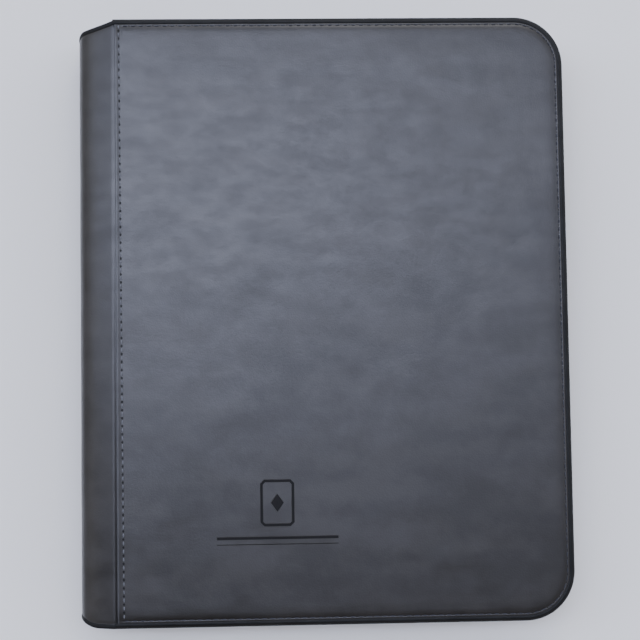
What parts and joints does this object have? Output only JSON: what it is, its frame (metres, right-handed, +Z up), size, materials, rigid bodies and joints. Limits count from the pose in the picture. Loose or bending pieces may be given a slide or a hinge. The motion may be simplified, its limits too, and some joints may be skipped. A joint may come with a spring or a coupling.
{
  "type": "trading card binder",
  "caption": "Zip-around leather-covered card binder with rounded free corners, a rounded spine, stitched edges and welded pocket leaves, lying closed on its back cover.",
  "frame": {"origin": "centre of the closed binder's footprint, on the surface it lies on (the back cover's outer face)", "axes": "+Z up out of the front cover, +Y towards the head of the cover, +X from the spine to the free edge; the spine is at -X"},
  "size_m": [0.279, 0.345, 0.038],
  "materials": {
    "cover_leather": "distressed grain, satin",
    "edge_binding": "fine grain, matt",
    "pull_leather": "fine grain, matt",
    "foam": "soft",
    "board": "dark grey, matt",
    "lining": "woven, matt",
    "zip_tape": "woven, matt",
    "zip_coil": "satin",
    "zip_metal": "gunmetal, satin",
    "leaf_film": "black backing under clear film",
    "leaf_block": "matt"
  },
  "bodies": {
    "back_cover": {"back_cover_skin": "cover_leather", "back_cover_foam": "foam", "back_cover_board": "board", "back_cover_lining": "lining", "back_edge_binding": "edge_binding", "back_hinge_flap": "cover_leather", "back_zip_tape": "zip_tape", "back_zip_coil": "zip_coil", "zip_end_tab": "edge_binding", "zip_stop": "zip_metal"},
    "spine": {"spine_skin": "cover_leather", "spine_board": "board", "spine_lining": "lining", "leaf_block": "leaf_block"},
    "front_cover": {"front_cover_skin": "cover_leather", "front_cover_foam": "foam", "front_cover_board": "board", "front_cover_lining": "lining", "front_edge_binding": "edge_binding", "front_hinge_flap": "cover_leather", "front_zip_tape": "zip_tape", "front_zip_coil": "zip_coil"},
    "slider": {"zip_slider": "zip_metal"},
    "pull": {"pull_bail": "zip_metal", "pull_tab": "pull_leather"},
    "leaf_01": {"leaf_01": "leaf_film"},
    "leaf_02": {"leaf_02": "leaf_film"},
    "leaf_03": {"leaf_03": "leaf_film"},
    "leaf_04": {"leaf_04": "leaf_film"},
    "leaf_05": {"leaf_05": "leaf_film"},
    "leaf_06": {"leaf_06": "leaf_film"},
    "leaf_07": {"leaf_07": "leaf_film"},
    "leaf_08": {"leaf_08": "leaf_film"},
    "leaf_09": {"leaf_09": "leaf_film"},
    "leaf_10": {"leaf_10": "leaf_film"},
    "leaf_11": {"leaf_11": "leaf_film"},
    "leaf_12": {"leaf_12": "leaf_film"},
    "leaf_13": {"leaf_13": "leaf_film"},
    "leaf_14": {"leaf_14": "leaf_film"},
    "leaf_15": {"leaf_15": "leaf_film"},
    "leaf_16": {"leaf_16": "leaf_film"},
    "leaf_17": {"leaf_17": "leaf_film"},
    "leaf_18": {"leaf_18": "leaf_film"},
    "leaf_19": {"leaf_19": "leaf_film"},
    "leaf_20": {"leaf_20": "leaf_film"}
  },
  "joints": [
    {"name": "spine_hinge", "type": "hinge", "parent": "back_cover", "child": "spine", "pos_m": [-0.1372, 0, 0.011], "axis": [0, -1, 0], "range_deg": [0, 90]},
    {"name": "front_cover_hinge", "type": "hinge", "parent": "spine", "child": "front_cover", "pos_m": [-0.1372, 0, 0.027], "axis": [0, -1, 0], "range_deg": [0, 90]},
    {"name": "zip_slide", "type": "slide", "parent": "back_cover", "child": "slider", "axis": [1, 0, 0], "range_m": [0, 0.2]},
    {"name": "pull_pivot", "type": "hinge", "parent": "slider", "child": "pull", "pos_m": [-0.099, 0.1705, 0.019], "axis": [0, 0, 1], "range_deg": [0, 170]},
    {"name": "leaf_01_turn", "type": "hinge", "parent": "spine", "child": "leaf_01", "pos_m": [-0.124, 0, 0.03087], "axis": [0, -1, 0], "range_deg": [0, 94.21]},
    {"name": "leaf_02_turn", "type": "hinge", "parent": "spine", "child": "leaf_02", "pos_m": [-0.1234, 0, 0.02962], "axis": [0, -1, 0], "range_deg": [0, 92.01]},
    {"name": "leaf_03_turn", "type": "hinge", "parent": "spine", "child": "leaf_03", "pos_m": [-0.12287, 0, 0.02838], "axis": [0, -1, 0], "range_deg": [0, 89.81]},
    {"name": "leaf_04_turn", "type": "hinge", "parent": "spine", "child": "leaf_04", "pos_m": [-0.1224, 0, 0.02712], "axis": [0, -1, 0], "range_deg": [0, 87.61]},
    {"name": "leaf_05_turn", "type": "hinge", "parent": "spine", "child": "leaf_05", "pos_m": [-0.12201, 0, 0.02587], "axis": [0, -1, 0], "range_deg": [0, 85.41]},
    {"name": "leaf_06_turn", "type": "hinge", "parent": "spine", "child": "leaf_06", "pos_m": [-0.12167, 0, 0.02463], "axis": [0, -1, 0], "range_deg": [0, 83.21]},
    {"name": "leaf_07_turn", "type": "hinge", "parent": "spine", "child": "leaf_07", "pos_m": [-0.12141, 0, 0.02337], "axis": [0, -1, 0], "range_deg": [0, 81.01]},
    {"name": "leaf_08_turn", "type": "hinge", "parent": "spine", "child": "leaf_08", "pos_m": [-0.12121, 0, 0.02212], "axis": [0, -1, 0], "range_deg": [0, 78.81]},
    {"name": "leaf_09_turn", "type": "hinge", "parent": "spine", "child": "leaf_09", "pos_m": [-0.12108, 0, 0.02088], "axis": [0, -1, 0], "range_deg": [0, 76.61]},
    {"name": "leaf_10_turn", "type": "hinge", "parent": "spine", "child": "leaf_10", "pos_m": [-0.12101, 0, 0.01963], "axis": [0, -1, 0], "range_deg": [0, 74.41]},
    {"name": "leaf_11_turn", "type": "hinge", "parent": "spine", "child": "leaf_11", "pos_m": [-0.12101, 0, 0.01837], "axis": [0, -1, 0], "range_deg": [-74.41, 0]},
    {"name": "leaf_12_turn", "type": "hinge", "parent": "spine", "child": "leaf_12", "pos_m": [-0.12108, 0, 0.01713], "axis": [0, -1, 0], "range_deg": [-76.61, 0]},
    {"name": "leaf_13_turn", "type": "hinge", "parent": "spine", "child": "leaf_13", "pos_m": [-0.12121, 0, 0.01588], "axis": [0, -1, 0], "range_deg": [-78.81, 0]},
    {"name": "leaf_14_turn", "type": "hinge", "parent": "spine", "child": "leaf_14", "pos_m": [-0.12141, 0, 0.01463], "axis": [0, -1, 0], "range_deg": [-81.01, 0]},
    {"name": "leaf_15_turn", "type": "hinge", "parent": "spine", "child": "leaf_15", "pos_m": [-0.12167, 0, 0.01337], "axis": [0, -1, 0], "range_deg": [-83.21, 0]},
    {"name": "leaf_16_turn", "type": "hinge", "parent": "spine", "child": "leaf_16", "pos_m": [-0.12201, 0, 0.01213], "axis": [0, -1, 0], "range_deg": [-85.41, 0]},
    {"name": "leaf_17_turn", "type": "hinge", "parent": "spine", "child": "leaf_17", "pos_m": [-0.1224, 0, 0.01087], "axis": [0, -1, 0], "range_deg": [-87.61, 0]},
    {"name": "leaf_18_turn", "type": "hinge", "parent": "spine", "child": "leaf_18", "pos_m": [-0.12287, 0, 0.00962], "axis": [0, -1, 0], "range_deg": [-89.81, 0]},
    {"name": "leaf_19_turn", "type": "hinge", "parent": "spine", "child": "leaf_19", "pos_m": [-0.1234, 0, 0.00838], "axis": [0, -1, 0], "range_deg": [-92.01, 0]},
    {"name": "leaf_20_turn", "type": "hinge", "parent": "spine", "child": "leaf_20", "pos_m": [-0.124, 0, 0.00713], "axis": [0, -1, 0], "range_deg": [-94.21, 0]}
  ],
  "couplings": [
    {"joint": "leaf_01_turn", "follows": "front_cover_hinge", "ratio": 1.0467},
    {"joint": "leaf_02_turn", "follows": "front_cover_hinge", "ratio": 1.0222},
    {"joint": "leaf_03_turn", "follows": "front_cover_hinge", "ratio": 0.99778},
    {"joint": "leaf_04_turn", "follows": "front_cover_hinge", "ratio": 0.97333},
    {"joint": "leaf_05_turn", "follows": "front_cover_hinge", "ratio": 0.94889},
    {"joint": "leaf_06_turn", "follows": "front_cover_hinge", "ratio": 0.92444},
    {"joint": "leaf_07_turn", "follows": "front_cover_hinge", "ratio": 0.9},
    {"joint": "leaf_08_turn", "follows": "front_cover_hinge", "ratio": 0.87556},
    {"joint": "leaf_09_turn", "follows": "front_cover_hinge", "ratio": 0.85111},
    {"joint": "leaf_10_turn", "follows": "front_cover_hinge", "ratio": 0.82667},
    {"joint": "leaf_11_turn", "follows": "spine_hinge", "ratio": -0.82667},
    {"joint": "leaf_12_turn", "follows": "spine_hinge", "ratio": -0.85111},
    {"joint": "leaf_13_turn", "follows": "spine_hinge", "ratio": -0.87556},
    {"joint": "leaf_14_turn", "follows": "spine_hinge", "ratio": -0.9},
    {"joint": "leaf_15_turn", "follows": "spine_hinge", "ratio": -0.92444},
    {"joint": "leaf_16_turn", "follows": "spine_hinge", "ratio": -0.94889},
    {"joint": "leaf_17_turn", "follows": "spine_hinge", "ratio": -0.97333},
    {"joint": "leaf_18_turn", "follows": "spine_hinge", "ratio": -0.99778},
    {"joint": "leaf_19_turn", "follows": "spine_hinge", "ratio": -1.0222},
    {"joint": "leaf_20_turn", "follows": "spine_hinge", "ratio": -1.0467}
  ]
}
